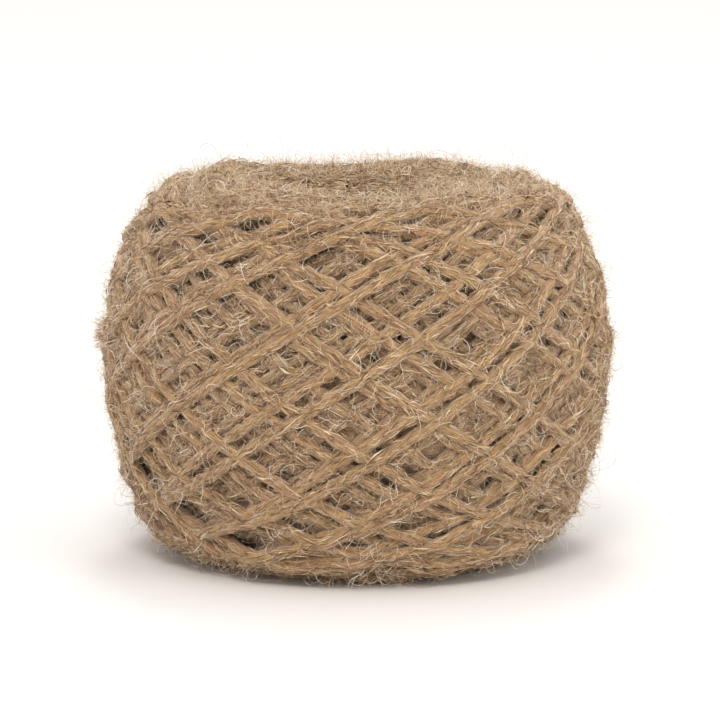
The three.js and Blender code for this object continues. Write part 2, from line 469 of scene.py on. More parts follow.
# %% Wind the ball
START_DEPTH = 3.4
LEAST_DEPTH = 0.4
WINDINGS = 2
WOUND_OVER = 0.5
MEETS_OUTLINE = 97
SECTORS = 48
ERROR_SOFTENING = 2.5
YARN_WIDER = 1.04
YARN_FLATTER = 0.93


def surface_error(surface, wound):
    """How far the wound surface is over the outline, for every row and sector around the ball."""
    reach = np.arange(-COLUMNS // SECTORS * 2, COLUMNS // SECTORS * 2)
    made = []
    for sector in range(SECTORS):
        near = np.take(surface, sector * COLUMNS // SECTORS + reach, axis=1, mode="wrap")
        tops = np.percentile(near, MEETS_OUTLINE, axis=1) + YARN_RADIUS * (YARN_FLATTER - PRESSED_TOP)
        made.append(soften(np.where(wound, tops, 0.0), ERROR_SOFTENING, ROW_GAP))
    made = np.stack(made, axis=1)
    return 0.5 * made + 0.25 * np.roll(made, 1, axis=1) + 0.25 * np.roll(made, -1, axis=1)


def error_at(error, angle, place):
    row = np.clip(np.rint(place / ROW_GAP).astype(int), 0, ROWS - 1)
    sector = angle / (2 * math.pi) * SECTORS
    low = np.floor(sector).astype(int)
    share = sector - low
    return (1 - share) * error[row, low % SECTORS] + share * error[row, (low + 1) % SECTORS]


depth = np.full(ROWS, START_DEPTH)
for number in range(WINDINGS):
    surface = np.repeat(-depth[:, None], COLUMNS, axis=1)
    heights = [lay(surface, angle, place) for layer, angle, place in plans]
    wound = surface.max(axis=1) > -depth + WOUND_OVER
    error = surface_error(surface, wound)
    print("winding", number + 1, "ends", round(float(np.abs(error[wound]).mean()), 2), "mm off the outline")
    if number < WINDINGS - 1:
        depth = np.maximum(depth + error.mean(axis=1), LEAST_DEPTH)
for i, (layer, angle, place) in enumerate(plans):
    heights[i] = off_floor(place, heights[i] - error_at(error, angle, place))
all_rows, all_columns = np.meshgrid(along, np.arange(COLUMNS) * 2 * math.pi / COLUMNS, indexing="ij")
surface -= error_at(error, all_columns, all_rows)
depth += error.mean(axis=1)

# %% [markdown]
# ## A soft ball gives way
# No real ball is perfectly round. This one has sunk a little behind its hollow and at the right near the
# table, is fuller at the front of its foot, and its hollow is not quite in the middle. A lattice could
# bend the finished meshes. It is simpler to move the yarn's own path, before any mesh is made from it.

# %% Dents and the hollow's place
# x, y and z of the middle in mm, how far out the ball is fuller there in mm, reach in mm
DENTS = [(-2, 28, 59, -1.4, 8), (15, -28, 4, 1.2, 8), (-3, -28, 3, 1.0, 8), (38, -8, 12, -0.8, 6)]
HOLLOW_SHIFT = 2.0
# mm: the shift sets in inside a radius and above a height, and is whole after a fade and a rise
SHIFT_RADIUS = 24
SHIFT_FADE = 12
SHIFT_HEIGHT = 35
SHIFT_RISE = 10


def settled(points, outward):
    """The points after the soft ball has given way here and there, and with its hollow off the middle."""
    moved = points.copy()
    for x, y, z, fuller, reach in DENTS:
        share = np.exp(-0.5 * (np.linalg.norm(points - (x, y, z), axis=1) / reach) ** 2)
        moved += outward * (fuller * share)[:, None]
    near_hollow = ease((SHIFT_RADIUS - np.hypot(points[:, 0], points[:, 1])) / SHIFT_FADE)
    near_hollow = near_hollow * ease((points[:, 2] - SHIFT_HEIGHT) / SHIFT_RISE)
    moved[:, 0] += HOLLOW_SHIFT * near_hollow
    return moved


# %% [markdown]
# ## Strings of yarn
# The turns of one layer join into one string, because the yarn runs on from each turn into the next.
# A string keeps, for every quarter millimetre, its middle, the way out of the ball and the way sideways.
# The tubes and the fibres below are both made from these, so that the fibres lie exactly on the yarn.
# The yarn's inner end is coiled down the hollow, where a finger finds it. A stretched string can't lie
# on a wall that curves inwards, so this coil is laid straight on the hollow's wall.

# %% Helpers for strings
COIL_RADIUS = 10.6
COIL_PITCH = 1.8
COIL_TILT = 1.0
COIL_SWAY = 1.07
COIL_SUNK = 0.9
COIL_STEP = math.radians(0.5)
# how far the coil strays along the wall and in depth, in mm, and over how many steps
COIL_STRAY = (0.15, 120)
COIL_LIFT = (0.2, 40)


def unit(vectors):
    return vectors / np.maximum(np.linalg.norm(vectors, axis=-1, keepdims=True), 1e-9)


def make_string(layer, angle, place, height):
    """A string as a dictionary of arrays, one entry for each step along it."""
    out_r = np.interp(place, along, normal_r)
    out_z = np.interp(place, along, normal_z)
    radius = np.interp(place, along, outline_r) + height * out_r
    z = np.interp(place, along, outline_z) + height * out_z
    outward = np.stack([out_r * np.cos(angle), out_r * np.sin(angle), out_z], axis=1)
    points = settled(np.stack([radius * np.cos(angle), radius * np.sin(angle), z], axis=1), outward)
    points[:, 2] = np.maximum(points[:, 2], YARN_RADIUS)
    tangent = unit(np.gradient(points, axis=0))
    side = unit(np.cross(tangent, outward))
    shows = height + PRESSED_TOP * YARN_RADIUS - surface[spots(angle, place)]
    return {
        "layer": layer, "points": points, "tangent": tangent, "side": side,
        "up": np.cross(side, tangent), "shows": shows,
    }


def hollow_coil():
    """Angles, places and heights of the yarn's inner end, coiled down the hollow's wall to its floor."""
    mouth_place = along[crest_row + int(np.argmax(outline_r[crest_row:] < COIL_RADIUS))]
    turns = (along[-1] - COIL_PITCH - mouth_place) / COIL_PITCH
    angle = np.arange(0, 2 * math.pi * turns, COIL_STEP)
    place = mouth_place + COIL_PITCH * angle / (2 * math.pi)
    place = place + COIL_TILT * np.sin(COIL_SWAY * angle) + drift(len(angle), *COIL_STRAY)
    angle, place = even_path(angle, place)
    return angle, place, drift(len(angle), *COIL_LIFT) - COIL_SUNK


# %% [markdown]
# The arcs and the coil stay strings of their own. The turns of each layer are put end to end, and their
# heights are softened once more, so that no kink shows where two turns meet.

# %% Join the turns into strings
JOINT_SOFTENING = 1.5
strings = [make_string(LAYERS, *hollow_coil())]
joined = {}
for (layer, angle, place), height in zip(plans, heights):
    if layer >= LAYERS:
        strings.append(make_string(layer, angle, place, height))
    else:
        joined.setdefault(layer, []).append((angle, place, height))
for layer, parts in joined.items():
    angle, place, height = (np.concatenate([part[i] for part in parts]) for i in range(3))
    angle[1:] -= 2 * math.pi * np.cumsum(np.round(np.diff(angle) / (2 * math.pi)))
    strings.append(make_string(layer, angle, place, soften(height, JOINT_SOFTENING, PATH_GAP)))
print(len(strings), "strings, the longest", round(max(len(s["points"]) for s in strings) * PATH_GAP), "mm")

# %% [markdown]
# ## The yarn's body
# Two soft plies are twisted around each other, so a cut through the yarn is slightly waisted, and the
# waist turns as it goes along. The yarn is a joined tube of rings. A curve object with a round bevel
# would be simpler, but it can't turn a waisted cut as it goes, and the arrays are quicker to make.

# %% Turn a string into a tube of yarn
PLY_PITCH = 7.5
PLY_DEPTH = 0.11
# how much the yarn's thickness strays, as a share, and over how many rings
THICKNESS_STRAY = (0.035, 8)


def yarn_radius(turn, travelled):
    """Radius of the two-ply yarn towards an angle around it, at a distance along it in mm."""
    return YARN_RADIUS * (1 + PLY_DEPTH * np.cos(2 * (turn - 2 * math.pi * travelled / PLY_PITCH)))


def ring_quads(rings, sides):
    """Quads between each ring of points and the next."""
    first = np.arange(rings - 1)[:, None] * sides
    now = np.arange(sides)[None, :]
    following = (now + 1) % sides
    above = first + sides
    return np.stack([first + now, first + following, above + following, above + now], -1).reshape(-1, 4)


def face_uvs(corners, across=1.0, down=1.0):
    """UVs of faces from the two coordinates of each of their corners."""
    return np.stack([np.stack([u / across, v / down], -1) for u, v in corners], axis=-2)


def yarn_tube(string, gap, sides, strip_start):
    """Points, quads and UVs in mm of one string, with a ring every gap mm."""
    every = max(1, round(gap / PATH_GAP))
    points, side, up = (string[name][::every] for name in ("points", "side", "up"))
    travelled = np.arange(len(points)) * every * PATH_GAP
    turn = 2 * math.pi * np.arange(sides) / sides - math.pi / 2
    stray = 1 + drift(len(points), *THICKNESS_STRAY)
    size = yarn_radius(turn[None, :], travelled[:, None]) * stray[:, None]
    width = (YARN_WIDER * size * np.cos(turn))[..., None] * side[:, None, :]
    height = (YARN_FLATTER * size * np.sin(turn))[..., None] * up[:, None, :]
    rings = (points[:, None, :] + width + height).reshape(-1, 3)
    low = strip_start + travelled[:-1, None] + np.zeros(sides)
    high = low + every * PATH_GAP
    left = np.arange(sides) * 2 * math.pi * YARN_RADIUS / sides + 0 * low
    right = left + 2 * math.pi * YARN_RADIUS / sides
    uvs = face_uvs([(low, left), (low, right), (high, right), (high, left)])
    return rings, ring_quads(len(points), sides), uvs.reshape(-1, 4, 2)


# %% [markdown]
# ## A flat map for baking
# The tubes' UVs run on for metres along the strand, which suits a pattern. A picture of baked colours needs
# every face inside the unit square, so the tube's short lengths are laid out there, row after row.

# %% Helpers for joined tubes
def join_parts(parts):
    """One set of points, faces and UVs from several."""
    points, faces, uvs = zip(*parts)
    starts = np.cumsum([0] + [len(some) for some in points[:-1]])
    faces = [some + start for some, start in zip(faces, starts)]
    return np.vstack(points), np.vstack(faces), np.vstack(uvs)


def bake_cells(faces, sides, gap):
    """Corner UVs that lay the short lengths of a tube out in the unit square, row after row."""
    lengths = faces // sides
    across = math.ceil(math.sqrt(lengths * 2 * math.pi * YARN_RADIUS / gap))
    down = math.ceil(lengths / across)
    number, side = np.divmod(np.arange(faces), sides)
    row, left = np.divmod(number, across)
    low = row + side / sides
    high = row + (side + 1) / sides
    return face_uvs([(left, low), (left, high), (left + 1, high), (left + 1, low)], across, down)


# %% [markdown]
# ## Patterns for the yarn
# Alpaca is spun from long, fine fibres, so a strand shows streaks that run almost along it, where pale
# and brown fibres lie next to each other. Deep between the turns the yarn is matted: its fuzz has felted
# into fine curls. A curl pattern could be painted. Here it is a wave through a soft noise, which passes
# zero along thin wandering lines, and lines from three such noises cross like curly fibres. A real fibre
# is up to 0.03 mm thick, too fine to show, so the lines are drawn about 0.1 mm wide.

# %% Helpers for patterns
# slant in radians, and noise cells a mm along and across the strand
STREAK_NOISES = ((0.10, (0.3, 5.0, 1.0)), (-0.14, (0.4, 4.0, 1.0)))


def set_stops(ramp, colours):
    """Gives a colour ramp a stop for each pair of a position and a hex colour."""
    stops = ramp.color_ramp.elements
    while len(stops) < len(colours):
        stops.new(0.5)
    for stop, (position, colour) in zip(stops, colours):
        stop.position = position
        stop.color = linear(colour)


def curl_lines(tree, position, scale, waves, shift):
    """Thin wandering lines, white on black. The scale is in noise cells per mm."""
    moved = add_node(tree, "ShaderNodeMapping", {
        "Vector": position, "Location": (shift, 0, 0), "Scale": (scale / MM, scale / MM, scale / MM),
    })
    noise = add_node(tree, "ShaderNodeTexNoise", {
        "Vector": moved, "Scale": 1.0, "Detail": 1.0, "Distortion": 0.7,
    })
    wave = add_node(tree, "ShaderNodeMath", {0: noise, 1: waves}, operation="MULTIPLY")
    sine = add_node(tree, "ShaderNodeMath", {0: wave}, operation="SINE")
    size = add_node(tree, "ShaderNodeMath", {0: sine}, operation="ABSOLUTE")
    return add_node(tree, "ShaderNodeMapRange", {
        "Value": size, "From Min": 0.1, "From Max": 0.5, "To Min": 1.0, "To Max": 0.0,
    })


def mixed_in(tree, colour, share, amount, hex_colour):
    """The colour with another one mixed in by a share between 0 and 1 times an amount."""
    factor = add_node(tree, "ShaderNodeMath", {0: share, 1: amount}, operation="MULTIPLY")
    mix = add_node(tree, "ShaderNodeMix", {
        "Factor": factor, "A": colour, "B": linear(hex_colour),
    }, data_type="RGBA")
    return mix.outputs["Result"]


def strand_streaks(tree, strand):
    """Two noises stretched along the strand and turned a few degrees each way, added up."""
    noises = []
    for slant, scale in STREAK_NOISES:
        turned = add_node(tree, "ShaderNodeMapping", {"Vector": strand, "Rotation": (0, 0, slant)})
        stretch = add_node(tree, "ShaderNodeMapping", {"Vector": turned, "Scale": scale})
        noises.append(add_node(tree, "ShaderNodeTexNoise", {
            "Vector": stretch, "Scale": 1.0, "Detail": 3.0, "Roughness": 0.7,
        }))
    return add_node(tree, "ShaderNodeMath", {0: noises[0], 1: noises[1]}, operation="ADD")


# %% [markdown]
# ## The yarn's material
# The streaks follow the strand by its UVs in mm, at a slant, because the twist lays the fibres askew.
# A third, wide noise shifts the colour between pinkish and golden, as undyed fleece varies. Dark and pale
# curls are mixed in by how matted the yarn is. Wool scatters light at its edge, which sheen stands for,
# and has next to no shine. A photograph of yarn could be wrapped around the tubes instead, but it would
# repeat, and these patterns never do.

# %% Yarn material
# where on the summed streak noises the pattern starts and ends, and each colour lies
STREAK_LOW = 0.7
STREAK_HIGH = 1.35
STREAKS_AT = (0.76, 0.9, 1.02, 1.14, 1.3)
SMOOTH_STREAKS = ("#5c4731", "#937859", "#b3956e", "#c4a87e", "#dac59d")
# the matted colours are darker than the smooth ones: painted shade for the older layers deep in the gaps
MATTED_SHADED_STREAKS = ("#473524", "#82684d", "#a88a65", "#bca078", "#d2be97")
PATCH_SCALE = (0.12, 1.1, 1.0)
FLEECE_TINTS = [(0.35, "#edd3c9"), (0.5, "#f6efe4"), (0.65, "#f4e6be")]
# noise cells a mm, waves, shift
DARK_CURLS = (0.8, 19, 3)
PALE_CURLS = ((0.9, 23, 0), (1.2, 20, 7))
DARK_CURL_COLOUR = "#57452e"
PALE_CURL_COLOUR = "#d1bb94"
RELIEF = 0.2 * MM


def fleece_colour(tree, strand, streak, colours):
    """The streaks in their colours, tinted in wide patches."""
    fitted = add_node(tree, "ShaderNodeMapRange", {
        "Value": streak, "From Min": STREAK_LOW, "From Max": STREAK_HIGH,
    })
    streaked = add_node(tree, "ShaderNodeValToRGB", {"Fac": fitted})
    positions = [(at - STREAK_LOW) / (STREAK_HIGH - STREAK_LOW) for at in STREAKS_AT]
    set_stops(streaked, list(zip(positions, colours)))
    wide = add_node(tree, "ShaderNodeMapping", {"Vector": strand, "Scale": PATCH_SCALE})
    patch = add_node(tree, "ShaderNodeTexNoise", {"Vector": wide, "Scale": 1.0, "Detail": 1.0})
    tint = add_node(tree, "ShaderNodeValToRGB", {"Fac": patch})
    set_stops(tint, FLEECE_TINTS)
    mixed = add_node(tree, "ShaderNodeMix", {
        "Factor": 1.0, "A": streaked, "B": tint,
    }, data_type="RGBA", blend_type="MULTIPLY")
    return mixed.outputs["Result"]


def alpaca_material(name, colours, matted):
    """Spun alpaca. The colours go from its dark to its pale streaks, and matted says how felted it is."""
    material, tree = new_material(name)
    strand = add_node(tree, "ShaderNodeUVMap", uv_map="strand_mm")
    streak = strand_streaks(tree, strand)
    colour = fleece_colour(tree, strand, streak, colours)
    place = add_node(tree, "ShaderNodeTexCoord").outputs["Object"]
    colour = mixed_in(tree, colour, curl_lines(tree, place, *DARK_CURLS), matted, DARK_CURL_COLOUR)
    curls = [curl_lines(tree, place, *curl) for curl in PALE_CURLS]
    pale = add_node(tree, "ShaderNodeMath", {0: curls[0], 1: curls[1]}, operation="MAXIMUM")
    colour = mixed_in(tree, colour, pale, matted, PALE_CURL_COLOUR)
    relief = add_node(tree, "ShaderNodeMath", {0: pale, 1: matted, 2: streak}, operation="MULTIPLY_ADD")
    bump = add_node(tree, "ShaderNodeBump", {"Height": relief, "Distance": RELIEF, "Strength": 0.8})
    shader = add_node(tree, "ShaderNodeBsdfPrincipled", {
        "Base Color": colour, "Roughness": 0.9, "Normal": bump, "Specular IOR Level": 0.2,
        "Sheen Weight": 0.8, "Sheen Roughness": 0.5, "Sheen Tint": linear("#f3e4dc"),
    })
    add_node(tree, "ShaderNodeOutputMaterial", {"Surface": shader})
    return material


smooth_yarn = alpaca_material("alpaca yarn, spun soft and brushed", SMOOTH_STREAKS, matted=0.15)
matted_shaded_yarn = alpaca_material("alpaca yarn, matted and darkened as painted shade", MATTED_SHADED_STREAKS, matted=0.4)
print("materials:", smooth_yarn.name, "and", matted_shaded_yarn.name)

# %% [markdown]
# ## Tubes for all the turns
# Every layer of the winding becomes one piece. The two newest layers show most, so they get the finest
# rings. The older ones, seen only in the gaps, get coarser ones and the matted yarn, whose darker colours
# are painted shade. A second UV map, OFBake, is the flat one for baking. The arcs and the coil in the
# hollow are one piece together, in the same darker yarn.

# %% Make the yarn pieces
# layers, mm between rings, sides of a ring, material
TUBES = [((0, 1), 1.25, 8, smooth_yarn), ((2, 3, 4), 1.5, 6, matted_shaded_yarn)]
ARC_GAP = 2.0
ARC_SIDES = 5
STRIP_APART = 120.0
pieces = []
for layers, gap, sides, material in TUBES:
    for layer in layers:
        string = next(s for s in strings if s["layer"] == layer)
        points, quads, uvs = yarn_tube(string, gap, sides, 0.0)
        maps = {"strand_mm": uvs, "OFBake": bake_cells(len(quads), sides, gap)}
        pieces.append(make_mesh(f"turns_{layer}", points, quads, material, maps))

arc_parts = []
for string in strings:
    if string["layer"] >= LAYERS:
        arc_parts.append(yarn_tube(string, ARC_GAP, ARC_SIDES, STRIP_APART * len(arc_parts)))
points, quads, uvs = join_parts(arc_parts)
maps = {"strand_mm": uvs, "OFBake": bake_cells(len(quads), ARC_SIDES, ARC_GAP)}
pieces.append(make_mesh("older_arcs", points, quads, matted_shaded_yarn, maps))

# %% [markdown]
# ## The core below the turns
# A real ball is yarn all the way through, but nothing shows below its first five layers. What lies deeper
# is one round skin of the matted yarn, its darker colour painted shade, so that no gap between the turns
# looks hollow. A sphere could be squashed to fit. Here the skin is the outline itself, sunk to where the
# winding started and swept round.

# %% Core under the winding
CORE_COLUMNS = 72
CORE_ROWS = 6
CORE_RISE = 0.6


def core_mesh():
    """Points, quads, UVs in mm and baking UVs of the skin under the winding."""
    rows = np.arange(0, ROWS, CORE_ROWS)
    sunk = depth[rows] - CORE_RISE
    turn = 2 * math.pi * np.arange(CORE_COLUMNS) / CORE_COLUMNS

    def swept_round(radius, z):
        swept = [radius[:, None] * np.cos(turn), radius[:, None] * np.sin(turn), z[:, None] + 0 * turn]
        return np.stack(swept, axis=-1).reshape(-1, 3)

    radius = np.maximum(outline_r[rows] - sunk * normal_r[rows], 0.0)
    points = swept_round(radius, outline_z[rows] - sunk * normal_z[rows])
    points = settled(points, swept_round(normal_r[rows], normal_z[rows]))
    quads = ring_quads(len(rows), CORE_COLUMNS)
    row, column = np.divmod(np.arange(len(quads)), CORE_COLUMNS)
    corners = [(column, row), (column + 1, row), (column + 1, row + 1), (column, row + 1)]
    return points, quads, points[quads][..., [0, 2]], face_uvs(corners, CORE_COLUMNS, len(rows) - 1)


points, quads, uvs, flat = core_mesh()
pieces.append(make_mesh("core", points, quads, matted_shaded_yarn, {"strand_mm": uvs, "OFBake": flat}))

# %% [markdown]
# ## Loose fibres
# Alpaca is spun loosely, so fibre ends stand out all over it. Most lie along the yarn as a nap. Others are
# crimped and wander over the gaps, and some stand off the ball as a halo. Blender's hair could grow
# them, but the object must be plain mesh, so each fibre is a narrow ribbon of a few faces.
# A real fibre is up to 0.03 mm thick, far finer than a pixel, so a ribbon is drawn up to three times as
# wide and stands for a few fibres together. Fibres start only where the yarn shows.

# %% Places where fibres can start
SHOWS_FROM = -0.4
yarn_points, yarn_tangent, yarn_side, yarn_up, shows = (
    np.concatenate([string[name] for string in strings])
    for name in ("points", "tangent", "side", "up", "shows")
)
counts = np.array([len(string["points"]) for string in strings])
ends = np.cumsum(counts)
first_of = np.repeat(ends - counts, counts)
last_of = np.repeat(ends - 1, counts)
shown = np.flatnonzero(shows > SHOWS_FROM)
print(len(shown), "places out of", len(yarn_points), "show")

# %% [markdown]
# ## How a fibre is drawn and coloured
# A fibre's colour comes from one number, its tone, which the first UV coordinate carries. A ramp turns
# it into anything from dark brown, as a fibre looks that lies in shadow, to nearly white.
# Each ribbon's UVs are a little wide, so that the same map, OFBake, can carry baked colours.
# Two kinds of ribbon save faces. A curly one has two points at every step. A nearly straight one has a
# single point a step, on its left and its right edge in turn, which needs only half the faces.

# %% Ribbons
TONE_WIDTH = 0.006
FLOOR_GAP = 0.08
# a fibre's width as a share of its widest, at shares of its length
TAPER_AT = (0, 0.15, 0.7, 1)
TAPER_TO = (0.6, 1, 0.9, 0.35)
FIBRE_COLOURS = [
    (0.0, "#433322"), (0.12, "#70563d"), (0.3, "#9d7c61"), (0.5, "#b99974"), (0.75, "#ccb28e"),
    (0.93, "#e2d5bd"), (1.0, "#f4ede1"),
]


def fibre_material():
    material, tree = new_material("loose alpaca fibres, undyed")
    uv = add_node(tree, "ShaderNodeUVMap", uv_map="OFBake")
    tone = add_node(tree, "ShaderNodeSeparateXYZ", {"Vector": uv})
    colour = add_node(tree, "ShaderNodeValToRGB", {"Fac": tone.outputs["X"]})
    set_stops(colour, FIBRE_COLOURS)
    shader = add_node(tree, "ShaderNodeBsdfPrincipled", {
        "Base Color": colour, "Roughness": 0.6, "Specular IOR Level": 0.3,
    })
    add_node(tree, "ShaderNodeOutputMaterial", {"Surface": shader})
    return material


def add_fibres(name, lines, width, facing, tone, straight=False):
    """One piece of ribbons along lines of points, with their flat side turned to the facing direction."""
    count, steps = lines.shape[:2]
    lines[..., 2] = np.maximum(lines[..., 2], FLOOR_GAP)
    share = np.linspace(0, 1, steps)
    half_width = 0.5 * width[:, None] * np.interp(share, TAPER_AT, TAPER_TO)
    across = unit(np.cross(np.gradient(lines, axis=1), facing)) * half_width[..., None]
    if straight:
        edges = np.where(np.arange(steps) % 2 == 0, -1, 1)[:, None]
        first = np.arange(count)[:, None] * steps + np.arange(steps - 2)
        turned = np.arange(steps - 2) % 2
        faces = np.stack([first + turned, first + 1 - turned, first + 2], -1).reshape(-1, 3)
    else:
        edges = np.array([(-1, 1)] * steps)
        first = np.arange(count)[:, None] * steps * 2 + np.arange(steps - 1) * 2
        faces = np.stack([first, first + 1, first + 3, first + 2], -1).reshape(-1, 4)
    points = (lines[:, :, None] + across[:, :, None] * edges[..., None]).reshape(-1, 3)
    tones = tone[:, None, None] + TONE_WIDTH * edges
    uvs = np.stack([tones, share[:, None] + 0 * tones], -1).reshape(-1, 2)
    pieces.append(make_mesh(name, points, faces, loose_fibre, {"OFBake": np.clip(uvs[faces], 0, 1)}))


loose_fibre = fibre_material()
print("material:", loose_fibre.name)

# %% [markdown]
# ## Nap along the yarn
# Most loose fibres lie down along the strand, almost parallel to it, and lift a little towards their tip.
# Each starts at a random place where the yarn shows and follows the strand for a few mm, at a slight
# slant. Those near the strand's two sides stick out over the gap and make its edge soft.

# %% Nap
NAP_PARTS = 2
NAP_COUNT = 32000
NAP_STEPS = 5
NAP_TONE = (0.12, 0.85)
NAP_LIFT_POWER = 1.5
# degrees: spread around the strand, slant, and the furthest round that a fibre goes
NAP_SPREAD = 55
NAP_SLANT = 13
NAP_FURTHEST = (-10, 190)
# radians a step
NAP_WOBBLE = 0.12
# mm
NAP_LENGTH = (1.6, 5.0)
NAP_WIDTH = (0.035, 0.065)
NAP_CLEAR = 0.02
NAP_LIFT = 0.34


def nap_fibres(count):
    """Lines that follow the strand, and the way out of it at each of their points."""
    start = shown[chance.integers(0, len(shown), count)]
    turn = np.radians(90 + chance.normal(0, NAP_SPREAD, count))
    length = chance.uniform(*NAP_LENGTH, count) * chance.choice([-1, 1], count)
    share = np.linspace(0, 1, NAP_STEPS)
    spot = start[:, None] + np.rint(length[:, None] * share / PATH_GAP).astype(int)
    spot = np.clip(spot, first_of[start][:, None], last_of[start][:, None])
    slant = np.radians(chance.normal(0, NAP_SLANT, count)) * length / YARN_RADIUS
    wobble = np.cumsum(chance.normal(0, NAP_WOBBLE, (count, NAP_STEPS)), axis=1)
    turned = np.clip(turn[:, None] + slant[:, None] * share + wobble, *np.radians(NAP_FURTHEST))
    travelled = (spot - first_of[spot]) * PATH_GAP
    lift = NAP_CLEAR + np.abs(chance.normal(0, NAP_LIFT, (count, 1))) * share**NAP_LIFT_POWER
    size = yarn_radius(turned, travelled) + lift
    around = YARN_WIDER * np.cos(turned)[..., None] * yarn_side[spot]
    around = around + YARN_FLATTER * np.sin(turned)[..., None] * yarn_up[spot]
    return yarn_points[spot] + size[..., None] * around, around


for part in range(NAP_PARTS):
    lines, facing = nap_fibres(NAP_COUNT)
    width = chance.uniform(*NAP_WIDTH, NAP_COUNT)
    add_fibres(f"nap_{part}", lines, width, facing, chance.uniform(*NAP_TONE, NAP_COUNT), straight=True)

# %% [markdown]
# ## Finding the ball's surface
# A wandering fibre must know how far off the ball it is. Asking Blender for the nearest point on a mesh
# would be slow for so many fibres. A grid over the ball's cross-section instead remembers, for every
# half millimetre, which row of the outline is nearest.

# %% Height over the outline
GRID_GAP = 0.5
GRID_RADIUS = 60
GRID_LOW = -5
GRID_HIGH = 75
AXIS_GUARD = 0.1
grid_r = np.arange(0, GRID_RADIUS, GRID_GAP)
grid_z = np.arange(GRID_LOW, GRID_HIGH, GRID_GAP)
gap_r = grid_r[:, None, None] - outline_r
gap_z = grid_z[None, :, None] - outline_z
nearest_row = np.argmin(gap_r**2 + gap_z**2, axis=2)


def over_outline(points):
    """How far points are outside the outline in mm, and the way out."""
    radius = np.hypot(points[:, 0], points[:, 1])
    i = np.clip(np.rint(radius / GRID_GAP).astype(int), 0, len(grid_r) - 1)
    j = np.clip(np.rint((points[:, 2] - grid_z[0]) / GRID_GAP).astype(int), 0, len(grid_z) - 1)
    row = nearest_row[i, j]
    high = (radius - outline_r[row]) * normal_r[row] + (points[:, 2] - outline_z[row]) * normal_z[row]
    spread = normal_r[row] / np.maximum(radius, AXIS_GUARD)
    return high, np.stack([points[:, 0] * spread, points[:, 1] * spread, normal_z[row]], axis=1)


height_over, way_out = over_outline(yarn_points)
lowest, highest = height_over.min(), height_over.max()
print("yarn lies from", round(lowest, 1), "to", round(highest, 1), "mm over the outline")

# %% [markdown]
# ## Crimped fibres
# Other fibres leave the strand and wander, because alpaca has a natural crimp. Each is walked step by
# step: its heading curls about a slowly changing axis, and it is drawn back to its own height over the
# ball.

# %% Walk the crimped fibres
FIBRE_SPREAD = 45
ROOT_SHARE = 0.9
SIDEWAYS = 0.8
RISE = (0.1, 0.8)
AXIS_WANDER = 0.45
PULL_BACK = 0.3


def crimped_fibres(count, steps, length, goal, bend, places):
    """Lines that leave the yarn and wander at about the goal height over the outline."""
    start = places[chance.integers(0, len(places), count)]
    turn = np.radians(90 + chance.normal(0, FIBRE_SPREAD, count))
    around = np.cos(turn)[:, None] * yarn_side[start] + np.sin(turn)[:, None] * yarn_up[start]
    spot = yarn_points[start] + YARN_RADIUS * ROOT_SHARE * around
    heading = yarn_tangent[start] * chance.normal(0, 1, (count, 1))
    heading += yarn_side[start] * chance.normal(0, SIDEWAYS, (count, 1))
    heading = unit(unit(heading) + around * chance.uniform(*RISE, (count, 1)))
    axis = unit(chance.normal(0, 1, (count, 3)))
    stride = (length / (steps - 1))[:, None]
    curl = bend[:, None] * stride
    lines = [spot]
    for number in range(steps - 1):
        axis = unit(axis + chance.normal(0, AXIS_WANDER, (count, 3)))
        heading = unit(heading + np.cross(axis, heading) * curl)
        high, outward = over_outline(spot)
        heading = unit(heading + outward * (np.clip(goal - high, -1, 1) * PULL_BACK)[:, None])
        spot = spot + heading * stride
        lines.append(spot)
    return np.stack(lines, axis=1), unit(chance.normal(0, 1, (count, 1, 3)))


# %% [markdown]
# ## Where each kind grows
# Deep fibres felt the gaps, pale ones and dark ones, and the dark tones there are painted shade. Some lie
# over the turns, a pale mat covers the top, its paleness partly painted light for the top that faces the
# lamps, a fine halo stands off the outline, and a few long ones fly away. At the left a small tuft and some
# long pale arcs stand out, and at the front of the foot some loops do. A fibre that would stand far off is
# left out.

# %% Add the crimped fibres
DEEP_FROM = 1.4
MOST_PROUD = 4.8
TOP_FACING = 0.8
TOP_BELOW = 6


def shown_near(point, reach):
    """The shown places within a reach in mm of a point."""
    return shown[np.linalg.norm(yarn_points[shown] - point, axis=1) < reach]


START_PLACES = {
    "all": shown,
    "deep": shown[height_over[shown] < -DEEP_FROM],
    "top": shown[(way_out[shown, 2] > TOP_FACING) & (yarn_points[shown, 2] > BALL_HEIGHT - TOP_BELOW)],
    "left side": shown_near((-36, -14, 26), 18),
    "left tuft": shown_near((-39, 0, 34.5), 1.5),
    "front foot": shown_near((2, -30, 4), 7),
}
